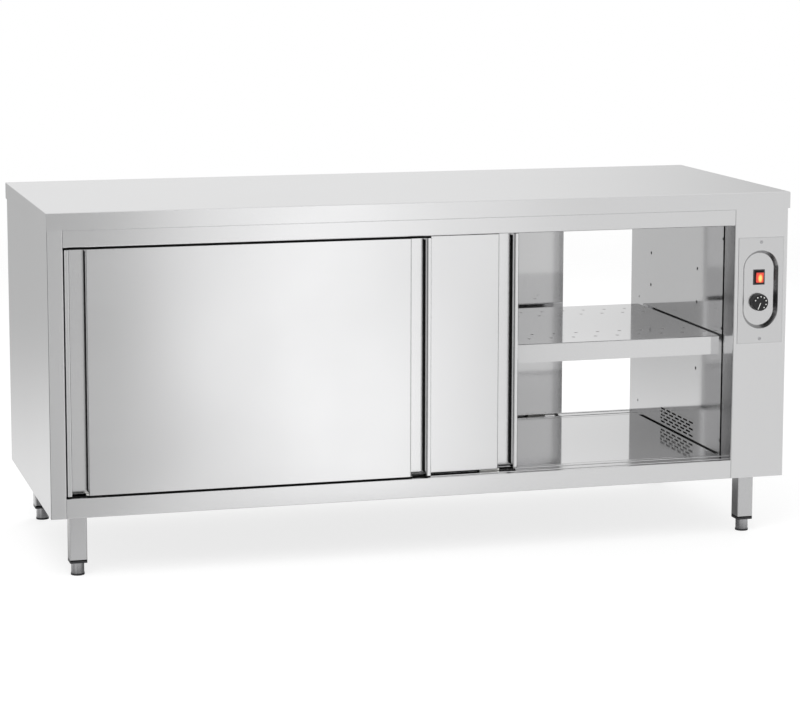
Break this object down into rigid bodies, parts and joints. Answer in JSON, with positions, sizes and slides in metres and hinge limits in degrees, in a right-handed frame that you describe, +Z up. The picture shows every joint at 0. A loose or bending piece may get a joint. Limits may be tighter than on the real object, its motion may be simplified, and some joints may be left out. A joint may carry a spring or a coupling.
{
  "type": "plate warmer cabinet",
  "caption": "Long stainless steel warming cabinet on legs, with sliding doors front and rear, a lift-out shelf, a fan heater and a control column at one end.",
  "frame": {"origin": "on the floor under the middle of the worktop", "axes": "+X along the cabinet towards the control column, -Y towards the front, +Z up"},
  "size_m": [1.8, 0.7, 0.85],
  "materials": {
    "satin_steel": "satin brushed",
    "bright_steel": "bright rolled",
    "leg_steel": "satin brushed",
    "nylon": "satin",
    "black_plastic": "matt",
    "knob_black": "matt, white marks",
    "lit_red": "gloss, lit from within",
    "wheel_plastic": "matt",
    "heater_tube": "bright",
    "zinc_parts": "plain",
    "foot_metal": "plated, with a black plastic pad",
    "zinc_plated": "zinc plated"
  },
  "bodies": {
    "cabinet": {"worktop": "satin_steel", "worktop_stiffeners": "bright_steel", "side_panel_left": "satin_steel", "inner_wall_left": "bright_steel", "inner_wall_right": "bright_steel", "vent_grille": "bright_steel", "column_front": "satin_steel", "column_rear": "satin_steel", "side_panel_right": "satin_steel", "head_rail_front": "satin_steel", "head_rail_rear": "satin_steel", "sill_front": "satin_steel", "sill_rear": "satin_steel", "door_tracks": "zinc_plated", "floor_panel": "bright_steel", "base_panel": "satin_steel", "ceiling_panel": "bright_steel", "shelf_pins": "zinc_plated", "panel_screws": "zinc_plated", "leg_front_left": "leg_steel", "leg_front_right": "leg_steel", "leg_rear_left": "leg_steel", "leg_rear_right": "leg_steel", "leg_caps": "black_plastic", "control_plate": "satin_steel", "switch_bezel": "black_plastic", "thermostat": "zinc_parts", "blower_housing": "zinc_plated", "blower_motor": "zinc_parts", "heater_element": "heater_tube", "cable_gland": "black_plastic"},
    "door_front_outer": {"door_front_outer_skin": "satin_steel", "door_front_outer_back": "bright_steel", "door_front_outer_hangers": "zinc_plated"},
    "roller_front_outer_left": {"roller_front_outer_left": "nylon"},
    "roller_front_outer_right": {"roller_front_outer_right": "nylon"},
    "door_front_inner": {"door_front_inner_skin": "satin_steel", "door_front_inner_back": "bright_steel", "door_front_inner_hangers": "zinc_plated"},
    "roller_front_inner_left": {"roller_front_inner_left": "nylon"},
    "roller_front_inner_right": {"roller_front_inner_right": "nylon"},
    "door_rear_outer": {"door_rear_outer_skin": "satin_steel", "door_rear_outer_back": "bright_steel", "door_rear_outer_hangers": "zinc_plated"},
    "roller_rear_outer_left": {"roller_rear_outer_left": "nylon"},
    "roller_rear_outer_right": {"roller_rear_outer_right": "nylon"},
    "door_rear_inner": {"door_rear_inner_skin": "satin_steel", "door_rear_inner_back": "bright_steel", "door_rear_inner_hangers": "zinc_plated"},
    "roller_rear_inner_left": {"roller_rear_inner_left": "nylon"},
    "roller_rear_inner_right": {"roller_rear_inner_right": "nylon"},
    "shelf": {"shelf": "bright_steel", "shelf_stiffener": "bright_steel"},
    "foot_front_left": {"foot_front_left": "foot_metal"},
    "foot_front_right": {"foot_front_right": "foot_metal"},
    "foot_rear_left": {"foot_rear_left": "foot_metal"},
    "foot_rear_right": {"foot_rear_right": "foot_metal"},
    "knob": {"control_knob": "knob_black"},
    "rocker": {"rocker": "lit_red"},
    "blower_wheel": {"blower_wheel": "wheel_plastic"}
  },
  "joints": [
    {"name": "door_front_outer_slide", "type": "slide", "parent": "cabinet", "child": "door_front_outer", "axis": [1, 0, 0], "range_m": [0, 0.757]},
    {"name": "roller_front_outer_left_spin", "type": "hinge", "parent": "door_front_outer", "child": "roller_front_outer_left", "pos_m": [-0.79, -0.3243, 0.7907], "axis": [0, 1, 0], "range_deg": [-20, 4446]},
    {"name": "roller_front_outer_right_spin", "type": "hinge", "parent": "door_front_outer", "child": "roller_front_outer_right", "pos_m": [-0.069, -0.3243, 0.7907], "axis": [0, 1, 0], "range_deg": [-20, 4446]},
    {"name": "door_front_inner_slide", "type": "slide", "parent": "cabinet", "child": "door_front_inner", "axis": [1, 0, 0], "range_m": [-0.225, 0.532]},
    {"name": "roller_front_inner_left_spin", "type": "hinge", "parent": "door_front_inner", "child": "roller_front_inner_left", "pos_m": [-0.565, -0.2913, 0.7907], "axis": [0, 1, 0], "range_deg": [-1335, 3130]},
    {"name": "roller_front_inner_right_spin", "type": "hinge", "parent": "door_front_inner", "child": "roller_front_inner_right", "pos_m": [0.156, -0.2913, 0.7907], "axis": [0, 1, 0], "range_deg": [-1335, 3130]},
    {"name": "door_rear_outer_slide", "type": "slide", "parent": "cabinet", "child": "door_rear_outer", "axis": [1, 0, 0], "range_m": [-0.556, 0.201]},
    {"name": "roller_rear_outer_left_spin", "type": "hinge", "parent": "door_rear_outer", "child": "roller_rear_outer_left", "pos_m": [-0.234, 0.3243, 0.7907], "axis": [0, 1, 0], "range_deg": [-3271, 1195]},
    {"name": "roller_rear_outer_right_spin", "type": "hinge", "parent": "door_rear_outer", "child": "roller_rear_outer_right", "pos_m": [0.487, 0.3243, 0.7907], "axis": [0, 1, 0], "range_deg": [-3271, 1195]},
    {"name": "door_rear_inner_slide", "type": "slide", "parent": "cabinet", "child": "door_rear_inner", "axis": [1, 0, 0], "range_m": [0, 0.757]},
    {"name": "roller_rear_inner_left_spin", "type": "hinge", "parent": "door_rear_inner", "child": "roller_rear_inner_left", "pos_m": [-0.79, 0.2913, 0.7907], "axis": [0, 1, 0], "range_deg": [-20, 4446]},
    {"name": "roller_rear_inner_right_spin", "type": "hinge", "parent": "door_rear_inner", "child": "roller_rear_inner_right", "pos_m": [-0.069, 0.2913, 0.7907], "axis": [0, 1, 0], "range_deg": [-20, 4446]},
    {"name": "shelf_lift", "type": "slide", "parent": "cabinet", "child": "shelf", "axis": [0, 0, 1], "range_m": [0, 0.084]},
    {"name": "foot_front_left_screw", "type": "slide", "parent": "cabinet", "child": "foot_front_left", "axis": [0, 0, -1], "range_m": [0, 0.05]},
    {"name": "foot_front_right_screw", "type": "slide", "parent": "cabinet", "child": "foot_front_right", "axis": [0, 0, -1], "range_m": [0, 0.05]},
    {"name": "foot_rear_left_screw", "type": "slide", "parent": "cabinet", "child": "foot_rear_left", "axis": [0, 0, -1], "range_m": [0, 0.05]},
    {"name": "foot_rear_right_screw", "type": "slide", "parent": "cabinet", "child": "foot_rear_right", "axis": [0, 0, -1], "range_m": [0, 0.05]},
    {"name": "thermostat_turn", "type": "hinge", "parent": "cabinet", "child": "knob", "pos_m": [0.829, -0.335, 0.581], "axis": [0, 1, 0], "range_deg": [0, 270]},
    {"name": "switch_rock", "type": "hinge", "parent": "cabinet", "child": "rocker", "pos_m": [0.829, -0.331, 0.642], "axis": [1, 0, 0], "range_deg": [-10, 0]},
    {"name": "blower_spin", "type": "hinge", "parent": "cabinet", "child": "blower_wheel", "pos_m": [0.83176, 0.015, 0.2625], "axis": [0, 1, 0], "continuous": true}
  ],
  "couplings": [
    {"joint": "roller_front_outer_left_spin", "follows": "door_front_outer_slide", "rad_per_m": 102.04},
    {"joint": "roller_front_outer_right_spin", "follows": "door_front_outer_slide", "rad_per_m": 102.04},
    {"joint": "roller_front_inner_left_spin", "follows": "door_front_inner_slide", "rad_per_m": 102.04},
    {"joint": "roller_front_inner_right_spin", "follows": "door_front_inner_slide", "rad_per_m": 102.04},
    {"joint": "roller_rear_outer_left_spin", "follows": "door_rear_outer_slide", "rad_per_m": 102.04},
    {"joint": "roller_rear_outer_right_spin", "follows": "door_rear_outer_slide", "rad_per_m": 102.04},
    {"joint": "roller_rear_inner_left_spin", "follows": "door_rear_inner_slide", "rad_per_m": 102.04},
    {"joint": "roller_rear_inner_right_spin", "follows": "door_rear_inner_slide", "rad_per_m": 102.04}
  ]
}
